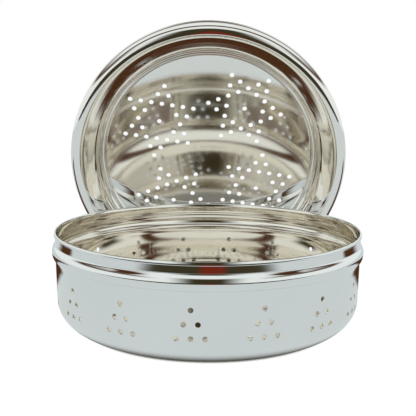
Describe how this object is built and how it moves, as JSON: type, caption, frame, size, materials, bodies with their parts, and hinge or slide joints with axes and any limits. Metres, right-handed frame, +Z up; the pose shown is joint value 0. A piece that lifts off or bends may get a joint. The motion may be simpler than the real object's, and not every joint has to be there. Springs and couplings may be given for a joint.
{
  "type": "cheese mould",
  "caption": "Round perforated steel cheese mould: a bowl drained by holes in its wall and floor, with a perforated lift-off pressing lid leaning on its rim.",
  "frame": {"origin": "centre of the bowl's flat bottom, on the surface it stands on", "axes": "+Z up along the bowl's axis, -Y the front, +X to the right seen from the front; the lid stands behind the bowl, on the +Y side"},
  "size_m": [0.1848, 0.193, 0.1812],
  "materials": {
    "bowl_steel": "mirror-polished stainless steel with fine scratches",
    "lid_steel": "mirror-polished stainless steel with fine turning marks"
  },
  "bodies": {
    "bowl": {"mould_bowl": "bowl_steel"},
    "lid": {"mould_lid": "lid_steel"}
  },
  "joints": [
    {"name": "lid_lift", "type": "slide", "parent": "bowl", "child": "lid", "axis": [0, 0.5736, 0.8192], "range_m": [0, 0.1]}
  ]
}
